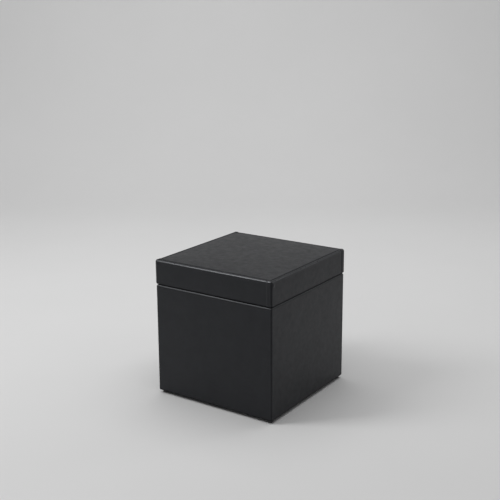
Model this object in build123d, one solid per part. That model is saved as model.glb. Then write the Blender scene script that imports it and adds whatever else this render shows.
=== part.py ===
from build123d import *
import os

# Upholstered storage cube with a loose lid, standing on four small glides.
# Origin: centre of the footprint, on the floor.  +Z up, -Y is the front.  Millimetres.
# The cube is the same on all four sides, so each side piece is made once, for the front,
# and turned about the vertical axis for the right, the back and the left.

# Overall sizes
LID_WIDTH = 400.0           # square lid, outside its upholstery
BODY_INSET = 0.5            # the body stands this far inside the lid on every side
TOTAL_HEIGHT = 410.0        # floor to the top of the seat
RIM_HEIGHT = 336.0          # floor to the top of the body's padded rim
LID_GAP = 0.4               # play between the rim and the closed lid
UNDERSIDE = 9.0             # floor to the lowest upholstery of the body

# Sheet and board thicknesses
LEATHER = 1.0               # synthetic leather cover
WADDING = 4.0               # thin foam over the boards
PANEL = 12.0                # fibreboard of the body and the lid's top board
RAIL = 15.0                 # softwood rails of the lid
BATTEN = 12.0               # locating battens inside the lid
LINING = 0.8                # woven lining inside the body and the lid
DUST_COVER = 0.6            # non-woven cloth under the base
SEAT_FOAM = 22.0            # foam pad on the lid's top board

# Cover edges
BODY_CORNER_RADIUS = 4.5
BODY_EDGE_RADIUS = 4.0
LID_CORNER_RADIUS = 5.0
LID_EDGE_RADIUS = 4.5
LOWER_EDGE_RADIUS = 2.0
SEAM_INSET = 8.0            # seam of the seat panel, in from the lid's side
TURN_UNDER = 16.0           # cover folded under the base
TURN_OVER = 25.0            # cover folded over the rim and down inside
HEM_TOP = 18.0              # lining starts this far below the rim
DUST_COVER_INSET = 8.5      # dust cover's edge, in from the body's side

# Lid frame
BATTEN_DROP = 14.0          # battens reach this far below the lid's lower edge

# Glides
GLIDE_RADIUS = 10.0
GLIDE_CENTRE = 184.0        # from the middle planes, in both directions
GLIDE_CHAMFER = 1.6
GLIDE_RECESS_RADIUS = 4.6
GLIDE_RECESS_DEPTH = 3.0
GLIDE_HEAD_RADIUS = 4.0
GLIDE_HEAD_HEIGHT = 2.0
GLIDE_SCREW_TOP = 20.0

# Screws and staples
SCREW_RADIUS = 2.0
SCREW_HEAD_RADIUS = 4.0
SCREW_TIP = 4.0             # length of the pointed end
PANEL_SCREW_LENGTH = 45.0
BASE_SCREW_LENGTH = 40.0
LID_SCREW_LENGTH = 40.0
BATTEN_SCREW_LENGTH = 22.0
STAPLE_CROWN = 10.0
STAPLE_THICKNESS = 0.6
STAPLE_WIDTH = 0.8
STAPLE_LEG = 8.0
BATTEN_SCREW_DROP = 5.0     # batten screws below the middle of the rails
COVER_STAPLE_INSET = 11.0   # staples of the turned-under cover, in from the body's side
DUST_STAPLE_INSET = 5.0     # staples of the dust cover, in from its edge
LINING_STAPLE_DEPTH = 3.5   # staple line below the lining's hem
CORNER_SCREW_HEIGHTS = (60.0, 174.0, 288.0)
BASE_SCREW_PLACES = (-120.0, 0.0, 120.0)
BATTEN_SCREW_PLACES = (-140.0, -50.0, 50.0, 140.0)
COVER_STAPLE_PLACES = (-160.0, -90.0, -30.0, 30.0, 90.0, 160.0)
DUST_STAPLE_PLACES = (-140.0, -60.0, 60.0, 140.0)
LINING_STAPLE_PLACES = (-140.0, -70.0, 0.0, 70.0, 140.0)

# Half widths, from the outside in
BODY_HALF = LID_WIDTH / 2 - BODY_INSET
BODY_CORE_HALF = BODY_HALF - LEATHER
PANEL_HALF = BODY_CORE_HALF - WADDING
PANEL_INNER_HALF = PANEL_HALF - PANEL
TURN_OVER_HALF = PANEL_INNER_HALF - LEATHER
LINING_HALF = TURN_OVER_HALF - LINING
LID_HALF = LID_WIDTH / 2
LID_CORE_HALF = LID_HALF - LEATHER
RAIL_HALF = LID_CORE_HALF - WADDING
RAIL_INNER_HALF = RAIL_HALF - RAIL
BATTEN_INNER_HALF = RAIL_INNER_HALF - BATTEN
DUST_COVER_HALF = BODY_HALF - DUST_COVER_INSET

# Heights
PANEL_LOW = UNDERSIDE + LEATHER
FLOOR_TOP = PANEL_LOW + PANEL
PANEL_TOP = RIM_HEIGHT - LEATHER
TURN_OVER_LOW = RIM_HEIGHT - TURN_OVER
LINING_TOP = RIM_HEIGHT - HEM_TOP
LID_LOW = RIM_HEIGHT + LID_GAP
RAIL_LOW = LID_LOW + LEATHER
LID_CORE_TOP = TOTAL_HEIGHT - LEATHER
BOARD_TOP = LID_CORE_TOP - SEAT_FOAM
BOARD_LOW = BOARD_TOP - PANEL
BATTEN_LOW = LID_LOW - BATTEN_DROP
GLIDE_HEIGHT = UNDERSIDE - DUST_COVER

SIDE_TURNS = {"front": 0, "right": 90, "back": 180, "left": 270}


def block(x_range, y_range, z_range):
    """A box between two corners, each range given as (low, high)."""
    ranges = (x_range, y_range, z_range)
    size = [high - low for low, high in ranges]
    middle = [(high + low) / 2 for low, high in ranges]
    return Pos(*middle) * Box(*size)


def square_block(half, low, high):
    """A box with a square plan about the vertical axis."""
    return block((-half, half), (-half, half), (low, high))


def envelope(half, low, high, corner, upper_edge, lower_edge):
    """A square block with rounded vertical corners, top edges and bottom edges."""
    solid = square_block(half, low, high)
    solid = fillet(solid.edges().filter_by(Axis.Z), corner)
    solid = fillet(solid.faces().sort_by(Axis.Z)[-1].edges(), upper_edge)
    return fillet(solid.faces().sort_by(Axis.Z)[0].edges(), lower_edge)


def front_quarter(ring):
    """The part of a ring that belongs to the front, mitred at both corners."""
    reach = LID_WIDTH
    outline = Polyline((0, 0), (-reach, -reach), (reach, -reach), close=True)
    wedge = extrude(make_face(outline), TOTAL_HEIGHT)
    return ring & wedge


def four_ways(shape):
    """The shape and its three turns about the vertical axis."""
    return [Rotation(0, 0, turn) * shape for turn in SIDE_TURNS.values()]


def pinwheel_board(half, thickness, low, high):
    """The front board of four that each cover one corner and butt at the next."""
    return block((-half, half - thickness), (-half, thickness - half), (low, high))


def countersunk_screw(length):
    """A wood screw pointing down, with the top of its head at the origin."""
    head_depth = SCREW_HEAD_RADIUS - SCREW_RADIUS
    tip_start = length - SCREW_TIP
    outline = Polyline(
        (0, 0),
        (SCREW_HEAD_RADIUS, 0),
        (SCREW_RADIUS, -head_depth),
        (SCREW_RADIUS, -tip_start),
        (0, -length),
        close=True,
    )
    profile = Plane.XZ * make_face(outline)
    return revolve(profile, Axis.Z)


def staple():
    """A staple pointing up, with the underside of its crown at the origin."""
    half = STAPLE_CROWN / 2
    across = (-STAPLE_WIDTH / 2, STAPLE_WIDTH / 2)
    crown = block((-half, half), across, (0, STAPLE_THICKNESS))
    leg_top = STAPLE_THICKNESS + STAPLE_LEG
    left_leg = block((-half, STAPLE_THICKNESS - half), across, (0, leg_top))
    right_leg = block((half - STAPLE_THICKNESS, half), across, (0, leg_top))
    return crown + left_leg + right_leg


def corner_screws():
    """Screws through each board's face into the end of the board beside it."""
    along_x = Rotation(0, 90, 0) * countersunk_screw(PANEL_SCREW_LENGTH)
    board_middle = PANEL / 2 - PANEL_HALF
    screws = []
    for height in CORNER_SCREW_HEIGHTS:
        screws += four_ways(Pos(PANEL_HALF, board_middle, height) * along_x)
    return screws


def base_screws():
    """Screws up through the bottom board into the side boards."""
    upward = Rotation(180, 0, 0) * countersunk_screw(BASE_SCREW_LENGTH)
    board_middle = PANEL / 2 - PANEL_HALF
    screws = []
    for place in BASE_SCREW_PLACES:
        screws += four_ways(Pos(place, board_middle, PANEL_LOW) * upward)
    return screws


def lid_board_screws():
    """Screws down through the lid's top board into its rails."""
    downward = countersunk_screw(LID_SCREW_LENGTH)
    rail_middle = RAIL / 2 - RAIL_HALF
    screws = []
    for place in BASE_SCREW_PLACES:
        screws += four_ways(Pos(place, rail_middle, BOARD_TOP) * downward)
    return screws


def batten_screws():
    """Screws outward through the battens into the rails."""
    outward = Rotation(-90, 0, 0) * countersunk_screw(BATTEN_SCREW_LENGTH)
    height = (RAIL_LOW + BOARD_LOW) / 2 - BATTEN_SCREW_DROP
    screws = []
    for place in BATTEN_SCREW_PLACES:
        screws += four_ways(Pos(place, -BATTEN_INNER_HALF, height) * outward)
    return screws


def glide_screw():
    """Pan-head screw up the middle of a glide, at the origin's vertical axis."""
    head_low = GLIDE_RECESS_DEPTH - GLIDE_HEAD_HEIGHT
    tip_low = GLIDE_SCREW_TOP - SCREW_TIP
    outline = Polyline(
        (0, head_low),
        (GLIDE_HEAD_RADIUS, head_low),
        (GLIDE_HEAD_RADIUS, GLIDE_RECESS_DEPTH),
        (SCREW_RADIUS, GLIDE_RECESS_DEPTH),
        (SCREW_RADIUS, tip_low),
        (0, GLIDE_SCREW_TOP),
        close=True,
    )
    profile = Plane.XZ * make_face(outline)
    return revolve(profile, Axis.Z)


def glide():
    """A round plastic glide with a chamfered foot and a recess for its screw."""
    disc = Cylinder(GLIDE_RADIUS, GLIDE_HEIGHT, align=(Align.CENTER, Align.CENTER, Align.MIN))
    disc = chamfer(disc.faces().sort_by(Axis.Z)[0].edges(), GLIDE_CHAMFER)
    recess = Cylinder(
        GLIDE_RECESS_RADIUS, GLIDE_RECESS_DEPTH, align=(Align.CENTER, Align.CENTER, Align.MIN)
    )
    return disc - recess - glide_screw()


def staples_under(places, depth, height):
    """Staples pointing up, in rows at a distance from the middle of each side."""
    rows = []
    for place in places:
        rows += four_ways(Pos(place, -depth, height) * staple())
    return rows


def staples_inside(places):
    """Staples pointing outward through the lining's hem into the side boards."""
    outward = Rotation(90, 0, 0) * staple()
    crown_face = LINING_HALF - STAPLE_THICKNESS
    height = LINING_TOP - LINING_STAPLE_DEPTH
    rows = []
    for place in places:
        rows += four_ways(Pos(place, -crown_face, height) * outward)
    return rows


def body_cover_ring():
    """Leather round the body, folded over the rim and under the base."""
    outside = envelope(
        BODY_HALF,
        UNDERSIDE,
        RIM_HEIGHT,
        BODY_CORNER_RADIUS,
        BODY_EDGE_RADIUS,
        LOWER_EDGE_RADIUS,
    )
    fold_inside = square_block(PANEL_INNER_HALF, TURN_OVER_LOW, PANEL_TOP)
    mouth = square_block(TURN_OVER_HALF, TURN_OVER_LOW, RIM_HEIGHT)
    base_opening = square_block(BODY_HALF - TURN_UNDER, UNDERSIDE, PANEL_LOW)
    return (outside - body_core() - base_opening) + fold_inside - mouth


def body_core():
    """Everything that the body's leather is wrapped round."""
    return envelope(
        BODY_CORE_HALF,
        PANEL_LOW,
        PANEL_TOP,
        BODY_CORNER_RADIUS - LEATHER,
        BODY_EDGE_RADIUS - LEATHER,
        LOWER_EDGE_RADIUS - LEATHER,
    )


def lid_core():
    """Everything that the lid's leather is wrapped round."""
    return envelope(
        LID_CORE_HALF,
        RAIL_LOW,
        LID_CORE_TOP,
        LID_CORNER_RADIUS - LEATHER,
        LID_EDGE_RADIUS - LEATHER,
        LOWER_EDGE_RADIUS - LEATHER,
    )


def lid_cover_shell():
    """Leather over the lid's top and sides, folded under its lower edge."""
    outside = envelope(
        LID_HALF,
        LID_LOW,
        TOTAL_HEIGHT,
        LID_CORNER_RADIUS,
        LID_EDGE_RADIUS,
        LOWER_EDGE_RADIUS,
    )
    opening = square_block(RAIL_INNER_HALF, LID_LOW, RAIL_LOW)
    return outside - lid_core() - opening


def ring_sheet(outer_half, inner_half, low, high):
    """Four upright sheets standing in a square."""
    return square_block(outer_half, low, high) - square_block(inner_half, low, high)


def add_sides(nodes, name, front_piece):
    """Turns the front piece into one node for each side."""
    for side, turn in SIDE_TURNS.items():
        nodes[name.format(side)] = Rotation(0, 0, turn) * front_piece


def body_nodes():
    """Every node of the body that stands on the floor."""
    nodes = {}
    corner_set = corner_screws()
    base_set = base_screws()
    glide_places = [
        (name, x * GLIDE_CENTRE, y * GLIDE_CENTRE)
        for name, x, y in (
            ("front_left", -1, -1),
            ("front_right", 1, -1),
            ("back_right", 1, 1),
            ("back_left", -1, 1),
        )
    ]
    foot_screws = [Pos(x, y, 0) * glide_screw() for name, x, y in glide_places]

    side_board = pinwheel_board(PANEL_HALF, PANEL, FLOOR_TOP, PANEL_TOP)
    side_board = side_board - corner_set - base_set
    add_sides(nodes, "{}_panel", side_board)
    bottom_board = square_block(PANEL_HALF, PANEL_LOW, FLOOR_TOP)
    nodes["bottom_panel"] = bottom_board - base_set - foot_screws

    wadding_ring = body_core() - square_block(PANEL_HALF, PANEL_LOW, PANEL_TOP)
    add_sides(nodes, "{}_wadding", front_quarter(wadding_ring))
    cover_ring = body_cover_ring() - foot_screws
    add_sides(nodes, "{}_cover", front_quarter(cover_ring))
    side_lining = ring_sheet(TURN_OVER_HALF, LINING_HALF, FLOOR_TOP + LINING, LINING_TOP)
    add_sides(nodes, "{}_lining", front_quarter(side_lining))
    nodes["floor_lining"] = square_block(PANEL_INNER_HALF, FLOOR_TOP, FLOOR_TOP + LINING)
    nodes["dust_cover"] = square_block(DUST_COVER_HALF, GLIDE_HEIGHT, UNDERSIDE) - foot_screws

    for name, x, y in glide_places:
        nodes["glide_" + name] = Pos(x, y, 0) * glide()
    nodes["glide_screws"] = Compound(children=foot_screws)
    nodes["corner_screws"] = Compound(children=corner_set)
    nodes["base_screws"] = Compound(children=base_set)
    cover_line = BODY_HALF - COVER_STAPLE_INSET
    nodes["cover_staples"] = Compound(
        children=staples_under(COVER_STAPLE_PLACES, cover_line, UNDERSIDE)
    )
    dust_line = DUST_COVER_HALF - DUST_STAPLE_INSET
    nodes["dust_cover_staples"] = Compound(
        children=staples_under(DUST_STAPLE_PLACES, dust_line, GLIDE_HEIGHT - STAPLE_THICKNESS)
    )
    nodes["lining_staples"] = Compound(children=staples_inside(LINING_STAPLE_PLACES))
    return nodes


def lid_nodes():
    """Every node of the loose lid."""
    nodes = {}
    board_set = lid_board_screws()
    batten_set = batten_screws()

    nodes["lid_board"] = square_block(RAIL_HALF, BOARD_LOW, BOARD_TOP) - board_set
    rail = pinwheel_board(RAIL_HALF, RAIL, RAIL_LOW, BOARD_LOW)
    add_sides(nodes, "lid_{}_rail", rail - board_set - batten_set)
    batten = pinwheel_board(RAIL_INNER_HALF, BATTEN, BATTEN_LOW, BOARD_LOW - LINING)
    add_sides(nodes, "lid_{}_batten", batten - batten_set)
    nodes["lid_lining"] = square_block(RAIL_INNER_HALF, BOARD_LOW - LINING, BOARD_LOW)

    core = lid_core()
    nodes["seat_foam"] = core & square_block(LID_HALF, BOARD_TOP, TOTAL_HEIGHT)
    edge_ring = core - square_block(RAIL_HALF, LID_LOW, TOTAL_HEIGHT)
    edge_ring = edge_ring & square_block(LID_HALF, LID_LOW, BOARD_TOP)
    add_sides(nodes, "lid_{}_wadding", front_quarter(edge_ring))

    shell = lid_cover_shell()
    seat_cut = square_block(LID_HALF - SEAM_INSET, LID_CORE_TOP - LEATHER, TOTAL_HEIGHT)
    nodes["seat_cover"] = shell & seat_cut
    add_sides(nodes, "lid_{}_band", front_quarter(shell - seat_cut))

    nodes["lid_board_screws"] = Compound(children=board_set)
    nodes["batten_screws"] = Compound(children=batten_set)
    nodes["lid_staples"] = Compound(
        children=staples_under(COVER_STAPLE_PLACES, RAIL_HALF - RAIL / 2, LID_LOW)
    )
    return nodes


os.makedirs("parts", exist_ok=True)
for node_name, node_shape in {**body_nodes(), **lid_nodes()}.items():
    export_step(node_shape, "parts/" + node_name + ".step")
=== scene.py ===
import math

import bpy
import numpy as np
from mathutils import Matrix, Vector, noise


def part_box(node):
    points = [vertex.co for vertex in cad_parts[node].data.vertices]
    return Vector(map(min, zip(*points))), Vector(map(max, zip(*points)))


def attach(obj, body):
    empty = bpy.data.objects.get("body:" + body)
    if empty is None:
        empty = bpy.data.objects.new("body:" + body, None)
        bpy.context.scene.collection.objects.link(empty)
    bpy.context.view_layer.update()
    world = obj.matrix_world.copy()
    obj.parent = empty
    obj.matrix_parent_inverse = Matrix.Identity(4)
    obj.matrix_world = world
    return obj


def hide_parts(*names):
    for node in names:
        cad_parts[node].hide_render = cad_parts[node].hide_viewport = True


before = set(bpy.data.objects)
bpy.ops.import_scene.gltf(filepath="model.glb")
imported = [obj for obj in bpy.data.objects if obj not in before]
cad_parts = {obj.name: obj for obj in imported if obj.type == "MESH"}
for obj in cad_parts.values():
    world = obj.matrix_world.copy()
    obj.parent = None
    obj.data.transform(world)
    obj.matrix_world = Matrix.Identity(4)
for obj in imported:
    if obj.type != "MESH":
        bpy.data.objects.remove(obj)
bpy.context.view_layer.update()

MM = 0.001
SIDES = {"front": 0.0, "right": 90.0, "back": 180.0, "left": 270.0}

# Upholstery
LEATHER = 1.0 * MM          # thickness of the synthetic leather
CORNER_ROLL = 1.5 * MM      # radius with which the covers roll into the corner seams
BAND_ROLL = 1.5 * MM        # radius with which the lid's bands turn down into the seat seam
SEAM_DIP = 1.6 * MM         # the stitches pull the seat's edge down this far
SEAM_REACH = 5.0 * MM       # the dip starts this far from the seam
LID_LOWER_ROLL = 5.0 * MM   # rounding of the lid's lower edge
BODY_LOWER_ROLL = 2.5 * MM  # rounding of the body's lower edge
BODY_EDGE = 7.0 * MM        # rounding over the outside of the body's rim
RIM_EDGE = 2.2 * MM         # rounding over the inside of the body's rim
LID_EDGE = 6.4 * MM         # rounding of the lid's top edge
BODY_CORNER = 4.5 * MM      # plan radius of the body's upright corners
LID_CORNER = 5.0 * MM       # plan radius of the lid's upright corners
SEAT_CROWN = 3.0 * MM       # rise of the seat's middle above its seam
SIDE_CROWN = 0.9 * MM       # fullness of the body's padded sides
BAND_CROWN = 0.7 * MM       # fullness of the lid's padded sides
ALLOWANCE = 15.0 * MM       # seam allowance lying flat beside each lid corner
ALLOWANCE_RISE = 0.90 * MM  # height of the allowance above the band
TUCK_RISE = 1.5 * MM        # pucker at the other end of each band
TUCK_DROP = 13.0 * MM       # the pucker's middle lies this far below the lid's top
COVER_TURN_UNDER = 16.0 * MM   # the body's covers turn under the base this far
LINING_OVERLAP = 7.0 * MM      # the covers end this far below the lining's top
RIM_TENSION = 0.35          # how stretched the leather is over the body's rim, from 0 to 1
LID_TENSION = 0.80          # and over the lid's top edge

# Camera
AIM = Vector((-0.0429, 0.0559, 0.4961))
VIEW_AZIMUTH = math.radians(34.310)
VIEW_ELEVATION = math.radians(13.364)
VIEW_ROLL = math.radians(-0.334)
VIEW_DISTANCE = 2.769
LENS_MM = 66.79
LENS_SHIFT = -0.06          # a larger shift would cut off the raised lid

# Lights, as radiance
KEY_RADIANCE = 8.2
OVERHEAD_RADIANCE = 1.5
RIM_RADIANCE = 1.8
WALL_RADIANCE = 1.5
FILL_STRENGTH = 0.28        # even light from all round


# ---------------------------------------------------------------- materials

def new_material(name, roughness, metallic=0.0):
    """A Principled material and its node tree."""
    material = bpy.data.materials.new(name)
    material.use_nodes = True
    shader = material.node_tree.nodes["Principled BSDF"]
    shader.inputs["Roughness"].default_value = roughness
    shader.inputs["Metallic"].default_value = metallic
    return material, material.node_tree, shader


def object_space(tree, stretch=(1.0, 1.0, 1.0)):
    """Coordinates in metres, stretched along the axes."""
    source = tree.nodes.new("ShaderNodeTexCoord")
    mapping = tree.nodes.new("ShaderNodeMapping")
    mapping.inputs["Scale"].default_value = stretch
    tree.links.new(source.outputs["Object"], mapping.inputs["Vector"])
    return mapping.outputs["Vector"]


def noise_field(tree, space, scale, detail=3.0, roughness=0.5):
    """A soft noise between 0 and 1; scale is in cycles per metre."""
    node = tree.nodes.new("ShaderNodeTexNoise")
    node.inputs["Scale"].default_value = scale
    node.inputs["Detail"].default_value = detail
    node.inputs["Roughness"].default_value = roughness
    tree.links.new(space, node.inputs["Vector"])
    return node.outputs["Fac"]


def ramp(tree, value, stops):
    """A colour ramp; stops are (place, colour) pairs."""
    node = tree.nodes.new("ShaderNodeValToRGB")
    elements = node.color_ramp.elements
    while len(elements) < len(stops):
        elements.new(0.5)
    for element, (place, colour) in zip(elements, stops):
        element.position = place
        element.color = (*colour, 1.0)
    tree.links.new(value, node.inputs["Fac"])
    return node.outputs["Color"]


def spread(tree, value, low, high):
    """A noise value moved into a range."""
    node = tree.nodes.new("ShaderNodeMapRange")
    node.inputs["From Min"].default_value = 0.3
    node.inputs["From Max"].default_value = 0.7
    node.inputs["To Min"].default_value = low
    node.inputs["To Max"].default_value = high
    tree.links.new(value, node.inputs["Value"])
    return node.outputs["Result"]


def bump(tree, height, distance, strength=1.0, below=None):
    """A bump layer, laid over another one when below is given."""
    node = tree.nodes.new("ShaderNodeBump")
    node.inputs["Distance"].default_value = distance
    node.inputs["Strength"].default_value = strength
    tree.links.new(height, node.inputs["Height"])
    if below is not None:
        tree.links.new(below, node.inputs["Normal"])
    return node.outputs["Normal"]


def between(tree, share, low, high):
    """A value that goes from low to high as share goes from 0 to 1."""
    node = tree.nodes.new("ShaderNodeMapRange")
    node.inputs["To Min"].default_value = low
    node.inputs["To Max"].default_value = high
    tree.links.new(share, node.inputs["Value"])
    return node.outputs["Result"]


def product(tree, first, second):
    """Two values multiplied."""
    node = tree.nodes.new("ShaderNodeMath")
    node.operation = "MULTIPLY"
    tree.links.new(first, node.inputs[0])
    tree.links.new(second, node.inputs[1])
    return node.outputs["Value"]


def leatherette():
    """Black synthetic leather: pebbled and faintly mottled.

    It is glossier where it is stretched. In the seams, in the gap under the lid and along the lower
    edges its shine is taken away, as painted shade.
    """
    material, tree, shader = new_material("black_leatherette", 0.42)
    shader.inputs["IOR"].default_value = 1.42
    shader.inputs["Specular Tint"].default_value = (0.93, 0.955, 1.0, 1.0)
    space = object_space(tree)
    stretched = tree.nodes.new("ShaderNodeAttribute")
    stretched.attribute_name = "stretched"
    taut = stretched.outputs["Fac"]
    mottle = noise_field(tree, space, 26.0, 4.0, 0.6)
    colour = ramp(
        tree, mottle, [(0.30, (0.0056, 0.0060, 0.0074)), (0.72, (0.0092, 0.0096, 0.0116))]
    )
    tree.links.new(colour, shader.inputs["Base Color"])
    gloss = noise_field(tree, space, 60.0, 5.0, 0.65)
    dull = spread(tree, gloss, 0.38, 0.50)
    polished = between(tree, taut, 1.0, 0.55)
    tree.links.new(product(tree, dull, polished), shader.inputs["Roughness"])
    # painted shade: the shine is taken away where the leather lies in a seam or a gap
    painted_shade = tree.nodes.new("ShaderNodeAttribute")
    painted_shade.attribute_name = "painted_shade"
    unshaded = between(tree, painted_shade.outputs["Fac"], 1.0, 0.0)
    shine = between(tree, taut, 0.5, 1.0)
    tree.links.new(product(tree, shine, unshaded), shader.inputs["Specular IOR Level"])
    pebbles = tree.nodes.new("ShaderNodeTexVoronoi")
    pebbles.feature = "SMOOTH_F1"
    pebbles.inputs["Scale"].default_value = 780.0
    pebbles.inputs["Smoothness"].default_value = 0.55
    pebbles.inputs["Randomness"].default_value = 0.95
    tree.links.new(space, pebbles.inputs["Vector"])
    grain = product(tree, pebbles.outputs["Distance"], between(tree, taut, 1.0, 0.35))
    creases = noise_field(tree, space, 210.0, 4.0, 0.6)
    swell = noise_field(tree, space, 34.0, 2.0, 0.5)
    layer = bump(tree, swell, 0.9 * MM, 0.30)
    layer = bump(tree, creases, 0.25 * MM, 0.30, layer)
    layer = bump(tree, grain, 0.16 * MM, 0.50, layer)
    tree.links.new(layer, shader.inputs["Normal"])
    return material


def woven_cloth(name, dark, light, threads):
    """A plain weave; threads is the number of threads in a metre."""
    material, tree, shader = new_material(name, 0.88)
    shader.inputs["Sheen Weight"].default_value = 0.25
    shader.inputs["Sheen Roughness"].default_value = 0.5
    space = object_space(tree)
    heights = []
    for direction in ("X", "Y", "Z"):
        wave = tree.nodes.new("ShaderNodeTexWave")
        wave.wave_type = "BANDS"
        wave.bands_direction = direction
        wave.inputs["Scale"].default_value = threads / (2.0 * math.pi)
        wave.inputs["Distortion"].default_value = 0.6
        wave.inputs["Detail"].default_value = 1.0
        tree.links.new(space, wave.inputs["Vector"])
        heights.append(wave.outputs["Fac"])
    weave = heights[0]
    for height in heights[1:]:
        mix = tree.nodes.new("ShaderNodeMath")
        mix.operation = "MULTIPLY"
        tree.links.new(weave, mix.inputs[0])
        tree.links.new(height, mix.inputs[1])
        weave = mix.outputs["Value"]
    patches = noise_field(tree, space, 40.0, 4.0, 0.6)
    tree.links.new(ramp(tree, patches, [(0.3, dark), (0.7, light)]), shader.inputs["Base Color"])
    layer = bump(tree, patches, 0.8 * MM, 0.4)
    tree.links.new(bump(tree, weave, 0.2 * MM, 0.5, layer), shader.inputs["Normal"])
    return material


def felted_cloth(name, dark, light, scale):
    """Non-woven or fibrous stuff with a random matted surface."""
    material, tree, shader = new_material(name, 0.92)
    space = object_space(tree)
    fibres = noise_field(tree, space, scale, 6.0, 0.75)
    tree.links.new(ramp(tree, fibres, [(0.3, dark), (0.7, light)]), shader.inputs["Base Color"])
    tree.links.new(bump(tree, fibres, 0.4 * MM, 0.6), shader.inputs["Normal"])
    return material


def foam_stuff(name, dark, light):
    """Open-cell foam: fine pores in a pale body."""
    material, tree, shader = new_material(name, 0.95)
    space = object_space(tree)
    pores = tree.nodes.new("ShaderNodeTexVoronoi")
    pores.inputs["Scale"].default_value = 900.0
    tree.links.new(space, pores.inputs["Vector"])
    colour = ramp(tree, pores.outputs["Distance"], [(0.05, dark), (0.5, light)])
    tree.links.new(colour, shader.inputs["Base Color"])
    tree.links.new(
        bump(tree, pores.outputs["Distance"], 0.4 * MM, 0.6), shader.inputs["Normal"]
    )
    return material


def fibreboard():
    """Pressed wood fibre: fine brown flecks, no grain direction."""
    material, tree, shader = new_material("fibreboard", 0.8)
    space = object_space(tree)
    flecks = noise_field(tree, space, 700.0, 5.0, 0.7)
    colour = ramp(
        tree, flecks, [(0.25, (0.23, 0.145, 0.082)), (0.75, (0.42, 0.29, 0.18))]
    )
    tree.links.new(colour, shader.inputs["Base Color"])
    tree.links.new(bump(tree, flecks, 0.1 * MM, 0.5), shader.inputs["Normal"])
    return material


def grained_wood(name, dark, light, along, roughness):
    """Sawn wood with its grain running along X or Y."""
    material, tree, shader = new_material(name, roughness)
    stretch = {"X": (0.08, 1.0, 1.0), "Y": (1.0, 0.08, 1.0)}[along]
    space = object_space(tree, stretch)
    grain = noise_field(tree, space, 320.0, 6.0, 0.65)
    bands = noise_field(tree, space, 60.0, 2.0, 0.5)
    mix = tree.nodes.new("ShaderNodeMath")
    mix.operation = "MULTIPLY_ADD"
    mix.inputs[1].default_value = 0.6
    tree.links.new(grain, mix.inputs[0])
    scaled = tree.nodes.new("ShaderNodeMath")
    scaled.operation = "MULTIPLY"
    scaled.inputs[1].default_value = 0.4
    tree.links.new(bands, scaled.inputs[0])
    tree.links.new(scaled.outputs["Value"], mix.inputs[2])
    colour = ramp(tree, mix.outputs["Value"], [(0.32, dark), (0.66, light)])
    tree.links.new(colour, shader.inputs["Base Color"])
    tree.links.new(
        spread(tree, grain, roughness - 0.08, roughness + 0.1), shader.inputs["Roughness"]
    )
    tree.links.new(bump(tree, grain, 0.25 * MM, 0.5), shader.inputs["Normal"])
    return material


def moulded_plastic():
    """Black moulded plastic with a fine spark-eroded texture."""
    material, tree, shader = new_material("glide_plastic", 0.45)
    space = object_space(tree)
    scuffs = noise_field(tree, space, 420.0, 5.0, 0.7)
    colour = ramp(
        tree, scuffs, [(0.35, (0.012, 0.012, 0.013)), (0.75, (0.035, 0.035, 0.036))]
    )
    tree.links.new(colour, shader.inputs["Base Color"])
    tree.links.new(spread(tree, scuffs, 0.38, 0.6), shader.inputs["Roughness"])
    tree.links.new(bump(tree, scuffs, 0.05 * MM, 0.5), shader.inputs["Normal"])
    return material


def plated_steel(name, dark, light, roughness):
    """Zinc-plated steel with a cloudy passivated surface."""
    material, tree, shader = new_material(name, roughness, 1.0)
    space = object_space(tree)
    clouds = noise_field(tree, space, 350.0, 4.0, 0.6)
    tree.links.new(ramp(tree, clouds, [(0.3, dark), (0.7, light)]), shader.inputs["Base Color"])
    tree.links.new(
        spread(tree, clouds, roughness - 0.08, roughness + 0.12), shader.inputs["Roughness"]
    )
    return material


MATERIALS = {
    "black_leatherette": leatherette(),
    "lining_cloth": woven_cloth("lining_cloth", (0.012, 0.012, 0.013), (0.026, 0.026, 0.028), 1400.0),
    "dust_cloth": felted_cloth("dust_cloth", (0.010, 0.010, 0.010), (0.030, 0.030, 0.031), 900.0),
    "wadding": felted_cloth("wadding", (0.60, 0.60, 0.58), (0.85, 0.85, 0.83), 600.0),
    "foam": foam_stuff("foam", (0.50, 0.45, 0.33), (0.82, 0.77, 0.62)),
    "fibreboard": fibreboard(),
    "softwood_x": grained_wood("softwood_x", (0.42, 0.27, 0.14), (0.68, 0.49, 0.29), "X", 0.65),
    "softwood_y": grained_wood("softwood_y", (0.42, 0.27, 0.14), (0.68, 0.49, 0.29), "Y", 0.65),
    "stained_x": grained_wood("stained_x", (0.012, 0.010, 0.009), (0.040, 0.033, 0.028), "X", 0.5),
    "stained_y": grained_wood("stained_y", (0.012, 0.010, 0.009), (0.040, 0.033, 0.028), "Y", 0.5),
    "glide_plastic": moulded_plastic(),
    "screw_steel": plated_steel("screw_steel", (0.48, 0.46, 0.40), (0.66, 0.63, 0.54), 0.35),
    "staple_steel": plated_steel("staple_steel", (0.58, 0.58, 0.60), (0.74, 0.74, 0.76), 0.25),
}


# ---------------------------------------------------------------- mesh tools

def turned(points, degrees):
    """Points turned about the vertical axis."""
    angle = math.radians(degrees)
    c, s = math.cos(angle), math.sin(angle)
    matrix = np.array([[c, -s, 0.0], [s, c, 0.0], [0.0, 0.0, 1.0]])
    return points @ matrix.T


def grid_normals(grid):
    """Unit normals of a grid of points, from its neighbours."""
    across = np.gradient(grid, axis=1)
    along = np.gradient(grid, axis=0)
    normal = np.cross(across, along)
    return normal / np.maximum(np.linalg.norm(normal, axis=2, keepdims=True), 1e-12)


def grid_faces(rows, columns, start, flip):
    """Quads of one grid layer whose points begin at start."""
    index = start + np.arange(rows * columns).reshape(rows, columns)
    quads = np.stack(
        [index[:-1, :-1], index[:-1, 1:], index[1:, 1:], index[1:, :-1]], axis=-1
    ).reshape(-1, 4)
    return quads[:, ::-1] if flip else quads


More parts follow.
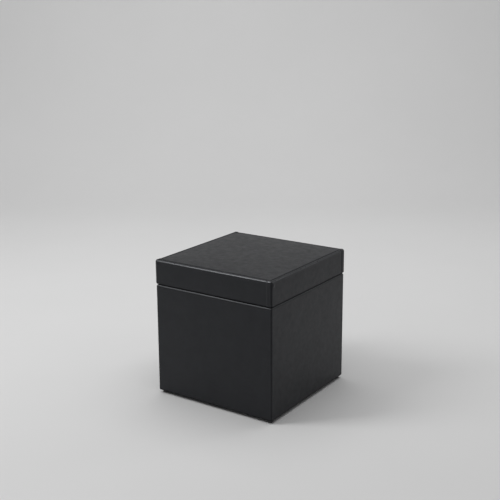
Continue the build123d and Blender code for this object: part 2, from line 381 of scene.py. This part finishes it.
def border(rows, columns, start):
    """The indices round a grid's edge, in order."""
    index = start + np.arange(rows * columns).reshape(rows, columns)
    return np.concatenate(
        [index[0, :-1], index[:-1, -1], index[-1, :0:-1], index[:0:-1, 0]]
    )


def two_layer_mesh(name, outer, inner):
    """A closed mesh between two grids of points, the first one facing out."""
    rows, columns, _ = outer.shape
    count = rows * columns
    points = np.concatenate([outer.reshape(-1, 3), inner.reshape(-1, 3)])
    quads = [grid_faces(rows, columns, 0, False), grid_faces(rows, columns, count, True)]
    rim = border(rows, columns, 0)
    following = np.roll(rim, -1)
    quads.append(np.stack([following, rim, rim + count, following + count], axis=-1))
    faces = np.concatenate(quads)
    mesh = bpy.data.meshes.new(name)
    mesh.from_pydata(points.tolist(), [], faces.tolist())
    mesh.validate()
    mesh.polygons.foreach_set("use_smooth", [True] * len(mesh.polygons))
    mesh.update()
    made = bpy.data.objects.new(name, mesh)
    bpy.context.scene.collection.objects.link(made)
    return made


def sheet_mesh(name, outer, thickness):
    """A closed sheet whose outer face is the grid."""
    return two_layer_mesh(name, outer, outer - thickness * grid_normals(outer))


def mark(piece, name, amount):
    """Stores a share from 0 to 1 at each grid point, for the leather's material."""
    values = np.concatenate([amount.ravel(), amount.ravel()])
    attribute = piece.data.attributes.new(name, "FLOAT", "POINT")
    attribute.data.foreach_set("value", values.astype(np.float32))


def dress(piece, body, material, slot, *nodes):
    """Gives a piece its material, its body and the nodes that it stands for."""
    piece.data.materials.append(MATERIALS[material])
    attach(piece, body)
    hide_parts(*nodes)


def graded(length, fine, coarse, reach):
    """Places from 0 to length, fine within reach of both ends and coarse between."""
    places = [0.0]
    while places[-1] < length / 2:
        share = min(1.0, places[-1] / reach)
        places.append(places[-1] + fine + (coarse - fine) * share)
    half = np.array(places) * (length / 2) / places[-1]
    return np.concatenate([half, (length - half[:-1])[::-1]])


def rounded_path(corners, fine, coarse, reach, arc_steps):
    """A path through corners given as (across, height, radius), with arcs at its corners."""
    points = []
    last = np.array(corners[0][:2])
    for here, after in zip(corners[1:-1], corners[2:]):
        corner, radius = np.array(here[:2]), here[2]
        inward = corner - np.array(last)
        leave = np.array(after[:2]) - corner
        inward_unit = inward / np.linalg.norm(inward)
        leave_unit = leave / np.linalg.norm(leave)
        first = corner - inward_unit * radius
        run = np.linalg.norm(first - last)
        points += [last + inward_unit * place for place in graded(run, fine, coarse, reach)[:-1]]
        centre = first + leave_unit * radius
        for step in range(arc_steps):
            angle = math.pi / 2 * step / arc_steps
            outward = -leave_unit * math.cos(angle) + inward_unit * math.sin(angle)
            points.append(centre + outward * radius)
        last = corner + leave_unit * radius
    final = np.array(corners[-1][:2])
    run = np.linalg.norm(final - last)
    direction = (final - last) / run
    points += [last + direction * place for place in graded(run, fine, coarse, reach)]
    return np.array(points)


def perlin(points, scale, seed):
    """Smooth noise at each point, roughly -1 to 1; scale is in cycles per metre."""
    flat = points.reshape(-1, 3)
    shift = Vector((seed * 17.3, seed * 5.1, seed * 9.7))
    values = [noise.noise(Vector(p) * scale + shift) for p in flat]
    return np.array(values).reshape(points.shape[:-1])


def quarter_plan(half, corner, columns):
    """Plan points of the front quarter of a rounded square, from mitre to mitre.

    columns holds signed places from -1 to 1: up to 1 - corner share it runs along the
    flat, and beyond that round half of the corner.
    """
    x = np.empty_like(columns)
    y = np.empty_like(columns)
    for i, place in enumerate(columns):
        size, sign = abs(place), math.copysign(1.0, place)
        if size <= 1.0:
            x[i] = sign * size * (half - corner)
            y[i] = -half
        else:
            angle = (size - 1.0) * math.pi / 4
            x[i] = sign * (half - corner + corner * math.sin(angle))
            y[i] = -(half - corner + corner * math.cos(angle))
    return x, y


def column_places(half, corner, fine, coarse, reach):
    """Signed column places for quarter_plan, close together beside the mitres."""
    run = half - corner
    flat = run - graded(2 * run, fine, coarse, reach)
    flat = -flat / run
    arc = 2.0 - (1.0 - np.linspace(0.0, 1.0, 8)[1:]) ** 1.5
    return np.concatenate([-arc[::-1], flat, arc])


def seam_distance(half, corner, columns):
    """Distance along the surface from each column to the nearer mitre."""
    arc = corner * math.pi / 4
    size = np.abs(columns)
    flat = (1.0 - np.minimum(size, 1.0)) * (half - corner)
    bend = (2.0 - np.maximum(size, 1.0)) * arc
    return flat + bend


def roll(distance, radius):
    """Depth of a surface that rolls into a seam over a quarter circle."""
    inside = np.clip(1.0 - distance / radius, 0.0, 1.0)
    return radius * (1.0 - np.sqrt(np.maximum(1.0 - inside**2, 0.0)))


def bell(value, centre, width):
    """A smooth hump of height 1."""
    return np.exp(-(((value - centre) / width) ** 2))


def step_up(value, place, width):
    """A smooth step from 0 to 1."""
    share = np.clip((value - place) / width + 0.5, 0.0, 1.0)
    return share * share * (3.0 - 2.0 * share)


def wrapped_grid(path, columns, corner):
    """The undisturbed outer face of a cover: a path swept round a rounded square."""
    widest = path[:, 0].max()
    rows = []
    for half, height in path:
        radius = max(0.4 * MM, corner - (widest - half))
        x, y = quarter_plan(half, radius, columns)
        rows.append(np.stack([x, y, np.full_like(x, height)], axis=-1))
    return np.array(rows)


# ---------------------------------------------------------------- soft pieces

def cover_relief(grid, path, columns, corner, crown, seed):
    """How far a cover stands off its plain shape: fullness, seam rolls and puckers."""
    widest = path[:, 0].max()
    beside = seam_distance(widest, corner, columns)[None, :]
    low, high = path[:, 1].min(), path[:, 1].max()
    height = np.clip((path[:, 1] - low) / (high - low), 0.0, 1.0)[:, None]
    on_face = step_up(path[:, 0], widest - 2.0 * MM, 3.0 * MM)[:, None]
    across = np.abs(grid[..., 0]) / widest
    full = (1.0 - across**4) * (1.0 - (2.0 * height - 1.0) ** 6)
    relief = crown * full * on_face
    relief = relief - roll(beside, CORNER_ROLL)
    waves = 0.35 * MM * perlin(grid, 11.0, seed) + 0.12 * MM * perlin(grid, 38.0, seed + 3)
    relief = relief + waves * on_face * step_up(beside, 12.0 * MM, 20.0 * MM)
    stretch = grid * np.array([0.15, 0.15, 1.0])
    puckers = perlin(stretch, 95.0, seed + 7)
    relief = relief + 0.16 * MM * puckers * bell(beside, 4.5 * MM, 5.0 * MM) * on_face
    return relief


def make_cover(name, turn, path, corner, crown, tension, seed, extra=None):
    """One side's leather, swept along its path and given its relief."""
    widest = path[:, 0].max()
    columns = column_places(widest, corner, 1.2 * MM, 9.0 * MM, 60.0 * MM)
    grid = wrapped_grid(path, columns, corner)
    relief = cover_relief(turned(grid, turn), path, columns, corner, crown, seed)
    if extra is not None:
        relief = relief + extra(path, columns)
    outer = grid + grid_normals(grid) * relief[..., None]
    piece = sheet_mesh(name, turned(outer, turn), LEATHER)
    along = np.ones(len(columns))
    mark(piece, "stretched", np.outer(edge_tension(path, tension), along))
    # painted shade at the seam end and along the lower edge
    mark(piece, "painted_shade", np.outer(painted_shade_ends(path), along))
    return piece


def edge_tension(path, most):
    """How tightly the leather is drawn over the outer upper edge of its path."""
    outermost, highest = path[:, 0].max(), path[:, 1].max()
    bend = (outermost - 1.8 * MM, highest - 1.8 * MM)
    return most * bell(np.hypot(path[:, 0] - bend[0], path[:, 1] - bend[1]), 0.0, 4.5 * MM)


def painted_shade_ends(path):
    """Painted shade at the leather's end, in the seam, and along its lower edge, beside a gap: how
    much of its shine is taken away.
    """
    from_end = np.hypot(path[:, 0] - path[-1, 0], path[:, 1] - path[-1, 1])
    lower = bell(path[:, 1], path[:, 1].min(), 3.5 * MM)
    return np.maximum(bell(from_end, 0.0, 3.2 * MM), lower)


def body_path():
    """Section of a body cover: under the base, up the side, over the rim and inside."""
    low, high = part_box("front_cover")
    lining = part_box("front_lining")[0].y
    half = -low.y
    inside = -lining
    fold_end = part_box("front_lining")[1].z - LINING_OVERLAP
    corners = [
        (half - COVER_TURN_UNDER, low.z, 0.0),
        (half, low.z, BODY_LOWER_ROLL),
        (half, high.z, BODY_EDGE),
        (inside, high.z, RIM_EDGE),
        (inside, fold_end, 0.0),
    ]
    return rounded_path(corners, 1.5 * MM, 5.0 * MM, 25.0 * MM, 6)


def band_path():
    """Section of a lid band: under the rail, up the side, over the edge to the seat seam."""
    low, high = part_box("lid_front_band")
    half = -low.y
    inside = -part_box("lid_front_band")[1].y
    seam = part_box("seat_cover")[1].x
    corners = [
        (inside, low.z, 0.0),
        (half, low.z, LID_LOWER_ROLL),
        (half, high.z, LID_EDGE),
        (seam, high.z, BAND_ROLL),
        (seam, high.z - SEAM_DIP - LEATHER, 0.0),
    ]
    return rounded_path(corners, 0.9 * MM, 4.0 * MM, 20.0 * MM, 6)


def sewn_corners(path, columns):
    """What sewing leaves on a band: a seam allowance at its right end, a pucker at its left."""
    widest, highest = path[:, 0].max(), path[:, 1].max()
    beside = seam_distance(widest, LID_CORNER, columns)
    flap = step_up(beside, 1.6 * MM, 1.5 * MM) * (1.0 - step_up(beside, ALLOWANCE, 2.2 * MM))
    groove = 0.35 * bell(beside, ALLOWANCE + 2.0 * MM, 1.8 * MM)
    shape = (flap - groove) * (columns > 0)
    inside = step_up(path[:, 1], path[:, 1].min() + 1.0 * MM, 3.0 * MM)
    below = highest - path[:, 1]
    pucker = bell(beside, 7.0 * MM, 5.0 * MM) * (columns < 0)
    tuck = TUCK_RISE * bell(below, TUCK_DROP, 5.0 * MM)
    return ALLOWANCE_RISE * inside[:, None] * shape[None, :] + tuck[:, None] * pucker[None, :]


def make_body_covers():
    """The four sewn side panels of the body's cover."""
    path = body_path()
    for seed, (side, turn) in enumerate(SIDES.items()):
        name = side + "_cover_leather"
        piece = make_cover(name, turn, path, BODY_CORNER, SIDE_CROWN, RIM_TENSION, seed + 1)
        dress(piece, "box", "black_leatherette", "black_leatherette", side + "_cover")


def make_lid_bands():
    """The four sewn side bands of the lid's cover."""
    path = band_path()
    for seed, (side, turn) in enumerate(SIDES.items()):
        name = "lid_" + side + "_band_leather"
        piece = make_cover(
            name, turn, path, LID_CORNER, BAND_CROWN, LID_TENSION, seed + 21, sewn_corners
        )
        dress(piece, "lid", "black_leatherette", "black_leatherette", "lid_" + side + "_band")


def seat_rise(x, y, half):
    """Height of the padded seat above its seam line."""
    across, deep = np.abs(x) / half, np.abs(y) / half
    dome = (1.0 - np.minimum(across, 1.0) ** 3.0) * (1.0 - np.minimum(deep, 1.0) ** 3.0)
    return SEAT_CROWN * dome


def seam_dip(distance):
    """How far the stitches pull the seat down at a distance from its seam."""
    return SEAM_DIP * np.clip(1.0 - distance / SEAM_REACH, 0.0, 1.0) ** 2


def make_seat():
    """The seat panel: a taut crowned sheet pulled down along the seam all round."""
    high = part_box("seat_cover")[1]
    half = high.x
    places = graded(2 * half, 0.8 * MM, 5.0 * MM, 45.0 * MM) - half
    x, y = np.meshgrid(places, places)
    grid = np.stack([x, y, np.zeros_like(x)], axis=-1)
    from_x, from_y = half - np.abs(x), half - np.abs(y)
    edge = np.minimum(from_x, from_y)
    drop = np.maximum(seam_dip(from_x), seam_dip(from_y))
    calm = step_up(edge, 14.0 * MM, 26.0 * MM)
    waves = 0.40 * MM * perlin(grid, 9.0, 41) + 0.12 * MM * perlin(grid, 32.0, 43)
    along_x = perlin(grid * np.array([1.0, 0.12, 1.0]), 80.0, 44)
    along_y = perlin(grid * np.array([0.12, 1.0, 1.0]), 80.0, 45)
    puckers = 0.15 * MM * (
        along_y * bell(from_x, 5.0 * MM, 6.0 * MM) + along_x * bell(from_y, 5.0 * MM, 6.0 * MM)
    )
    grid[..., 2] = high.z - drop + seat_rise(x, y, half) + waves * calm + puckers
    piece = sheet_mesh("seat_leather", grid, LEATHER)
    # painted shade: the seat's shine is taken away along its seam
    mark(piece, "painted_shade", bell(edge, 0.0, 2.6 * MM))
    dress(piece, "lid", "black_leatherette", "black_leatherette", "seat_cover")


def slab(name, node, thin, edge, field_low=None, field_high=None, spacing=8.0 * MM, inset=0.0):
    """A pad or cloth in the place of a flat CAD solid, with rounded edges.

    thin is the axis of its thickness.  The fields move its low and high faces.
    """
    low, high = (np.array(v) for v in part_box(node))
    wide = [axis for axis in range(3) if axis != thin]
    if thin == 1:
        wide = wide[::-1]
    for axis in wide:
        low[axis] += inset
        high[axis] -= inset
    lines = []
    for axis in wide:
        lines.append(low[axis] + graded(high[axis] - low[axis], edge * 0.35, spacing, 30.0 * MM))
    a, b = np.meshgrid(*lines)
    thick = high[thin] - low[thin]
    radius = min(edge, thick * 0.45)
    drop = np.zeros_like(a)
    for places, axis in ((a, wide[0]), (b, wide[1])):
        gap = np.minimum(places - low[axis], high[axis] - places)
        drop = np.maximum(drop, roll(gap, radius))
    layers = []
    for level, sign, field in ((high[thin], -1.0, field_high), (low[thin], 1.0, field_low)):
        grid = np.zeros(a.shape + (3,))
        grid[..., wide[0]] = a
        grid[..., wide[1]] = b
        grid[..., thin] = level + sign * drop
        if field is not None:
            grid[..., thin] += field(grid)
        layers.append(grid)
    return two_layer_mesh(name, layers[0], layers[1])


def make_foam():
    """The seat's foam pad, crowned under the leather."""
    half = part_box("seat_cover")[1].x

    def under_leather(grid):
        rise = seat_rise(grid[..., 0], grid[..., 1], half)
        return rise - 1.2 * MM + 0.15 * MM * perlin(grid, 30.0, 61)

    piece = slab(
        "seat_foam_pad", "seat_foam", 2, 6.0 * MM, None, under_leather, 8.0 * MM, 2.4 * MM
    )
    dress(piece, "lid", "foam", "foam", "seat_foam")


def make_wadding():
    """Thin wadding pads between the boards and the leather."""
    for prefix, body in (("", "box"), ("lid_", "lid")):
        for seed, side in enumerate(SIDES):
            node = prefix + side + "_wadding"
            thin = 1 if side in ("front", "back") else 0

            def quilted(grid, seed=seed):
                return 0.12 * MM * perlin(grid, 40.0, seed + 71)

            piece = slab(
                node + "_pad", node, thin, 1.6 * MM, quilted, quilted, 12.0 * MM, 4.0 * MM
            )
            dress(piece, body, "wadding", "wadding", node)


def make_linings():
    """Woven lining: loose on the walls and floor of the box."""
    for seed, side in enumerate(SIDES):
        node = side + "_lining"
        low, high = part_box(node)
        thin = 1 if side in ("front", "back") else 0
        inward = -1.0 if side in ("right", "back") else 1.0

        def loose(grid, seed=seed, low=low, high=high, inward=inward, thin=thin):
            other = 1 - thin
            gap = np.minimum(grid[..., other] - low[other], high[other] - grid[..., other])
            free = step_up(high.z - grid[..., 2], 22.0 * MM, 20.0 * MM)
            free = free * step_up(gap, 10.0 * MM, 16.0 * MM)
            stretch = grid * np.array([1.0, 1.0, 0.25])
            folds = 0.5 + 0.5 * perlin(stretch, 16.0, seed + 81)
            return inward * free * (1.6 * MM * folds + 0.3 * MM * perlin(grid, 60.0, seed))

        piece = slab(side + "_lining_cloth", node, thin, 0.8 * MM, loose, loose, 6.0 * MM)
        dress(piece, "box", "lining_cloth", "lining_cloth", node)

    def floor_waves(grid):
        return 0.5 * MM * (1.0 + perlin(grid, 22.0, 91))

    low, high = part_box("floor_lining")
    piece = slab(
        "floor_lining_cloth", "floor_lining", 2, 0.8 * MM, None, floor_waves, 6.0 * MM, 0.5 * MM
    )
    dress(piece, "box", "lining_cloth", "lining_cloth", "floor_lining")


def sagging(node, depth, seed):
    """A field that lets a stretched cloth hang a little in its middle."""
    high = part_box(node)[1]

    def field(grid):
        across = 1.0 - (grid[..., 0] / high.x) ** 2
        deep = 1.0 - (grid[..., 1] / high.y) ** 2
        shape = np.clip(across * deep, 0.0, 1.0)
        return -depth * shape * (1.0 + 0.4 * perlin(grid, 14.0, seed))

    return field


def make_under_cloths():
    """The dust cover under the base and the lining under the lid."""
    for name, node, body, material, depth in (
        ("dust_cover_cloth", "dust_cover", "box", "dust_cloth", 1.6 * MM),
        ("lid_lining_cloth", "lid_lining", "lid", "lining_cloth", 1.8 * MM),
    ):
        field = sagging(node, depth, 95)
        piece = slab(name, node, 2, 0.6 * MM, field, field, 7.0 * MM)
        dress(piece, body, material, material, node)


# ---------------------------------------------------------------- carried-over parts

def finish_cad_nodes():
    """Procedural materials for the rigid parts that come from the frame."""
    for name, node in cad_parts.items():
        along = "_x" if "front" in name or "back" in name else "_y"
        if name.endswith("_panel") or name == "lid_board":
            material = "fibreboard"
        elif name.endswith("_rail"):
            material = "softwood" + along
        elif name.endswith("_batten"):
            material = "stained" + along
        elif name.endswith("_screws"):
            material = "screw_steel"
        elif name.endswith("_staples"):
            material = "staple_steel"
        elif name.startswith("glide_"):
            material = "glide_plastic"
        else:
            continue
        node.data.materials.clear()
        node.data.materials.append(MATERIALS[material])


# ---------------------------------------------------------------- studio

def make_sweep():
    """A pale seamless floor that curves up into a backdrop behind the object."""
    flat, bend, wall, wide = 2.4, 1.3, 0.8, 9.0
    near = 14.0
    section = [(-near, 0.0), (-3.0, 0.0), (0.0, 0.0), (flat, 0.0)]
    for step in range(1, 13):
        angle = math.pi / 2 * step / 12
        section.append((flat + bend * math.sin(angle), bend * (1.0 - math.cos(angle))))
    section.append((flat + bend, bend + wall))
    away = Vector((-math.sin(VIEW_AZIMUTH), math.cos(VIEW_AZIMUTH), 0.0))
    beside = Vector((math.cos(VIEW_AZIMUTH), math.sin(VIEW_AZIMUTH), 0.0))
    points = []
    for depth, height in section:
        for side in (-wide, wide):
            points.append(away * depth + beside * side + Vector((0.0, 0.0, height)))
    faces = [(2 * i, 2 * i + 1, 2 * i + 3, 2 * i + 2) for i in range(len(section) - 1)]
    mesh = bpy.data.meshes.new("studio_sweep")
    mesh.from_pydata(points, [], faces)
    mesh.polygons.foreach_set("use_smooth", [True] * len(faces))
    floor = bpy.data.objects.new("studio_sweep", mesh)
    bpy.context.scene.collection.objects.link(floor)
    material, tree, shader = new_material("studio_paper", 0.9)
    paper = noise_field(tree, object_space(tree), 1.3, 3.0, 0.6)
    colour = ramp(tree, paper, [(0.3, (0.700, 0.700, 0.700)), (0.7, (0.715, 0.715, 0.715))])
    tree.links.new(colour, shader.inputs["Base Color"])
    shader.inputs["Specular IOR Level"].default_value = 0.2
    floor.data.materials.append(material)


def area_light(name, place, target, width, length, radiance):
    """A soft light at place, facing target, that stays out of the picture itself.

    Its length lies across the line of sight to the target, as level as it can.
    """
    data = bpy.data.lights.new(name, "AREA")
    data.shape = "RECTANGLE"
    data.size = length
    data.size_y = width
    data.energy = math.pi * width * length * radiance
    light = bpy.data.objects.new(name, data)
    light.location = place
    light.rotation_mode = "QUATERNION"
    light.rotation_quaternion = (Vector(target) - Vector(place)).to_track_quat("-Z", "Y")
    light.visible_camera = False
    bpy.context.scene.collection.objects.link(light)


def make_lights():
    """Tall soft lights at the front left and back right, and broad overhead light."""
    area_light("key", (-2.0, -1.9, 3.0), (0.0, 0.0, 0.3), 2.0, 1.0, KEY_RADIANCE)
    area_light("overhead", (0.0, 0.3, 3.6), (0.0, 0.3, 0.0), 3.4, 3.4, OVERHEAD_RADIANCE)
    area_light("rim", (2.0, 3.1, 2.2), (0.0, 0.0, 0.3), 1.6, 0.7, RIM_RADIANCE)
    away = Vector((-math.sin(VIEW_AZIMUTH), math.cos(VIEW_AZIMUTH), 0.0))
    above_wall = away * 1.2 + Vector((0.0, 0.0, 2.9))
    wall_foot = away * 3.7 + Vector((0.0, 0.0, 0.7))
    area_light("wall_wash", above_wall, wall_foot, 1.0, 4.0, WALL_RADIANCE)
    world = bpy.data.worlds.new("studio")
    world.use_nodes = True
    background = world.node_tree.nodes["Background"]
    background.inputs["Color"].default_value = (1.0, 1.0, 1.0, 1.0)
    background.inputs["Strength"].default_value = FILL_STRENGTH
    bpy.context.scene.world = world


def make_camera():
    """The camera at the photograph's angle."""
    data = bpy.data.cameras.new("camera")
    data.lens = LENS_MM
    data.shift_y = LENS_SHIFT
    data.clip_end = 100.0
    camera = bpy.data.objects.new("camera", data)
    a, e, r = VIEW_AZIMUTH, VIEW_ELEVATION, VIEW_ROLL
    back = Vector((math.sin(a) * math.cos(e), -math.cos(a) * math.cos(e), math.sin(e)))
    level = Vector((math.cos(a), math.sin(a), 0.0))
    upward = back.cross(level)
    right = level * math.cos(r) + upward * math.sin(r)
    top = upward * math.cos(r) - level * math.sin(r)
    place = AIM + back * VIEW_DISTANCE
    camera.matrix_world = Matrix(
        (
            (right.x, top.x, back.x, place.x),
            (right.y, top.y, back.y, place.y),
            (right.z, top.z, back.z, place.z),
            (0.0, 0.0, 0.0, 1.0),
        )
    )
    bpy.context.scene.collection.objects.link(camera)
    bpy.context.scene.camera = camera


make_camera()
make_lights()
make_sweep()
make_body_covers()
make_lid_bands()
make_seat()
make_foam()
make_wadding()
make_linings()
make_under_cloths()
finish_cad_nodes()
bpy.context.scene.view_settings.view_transform = "Standard"
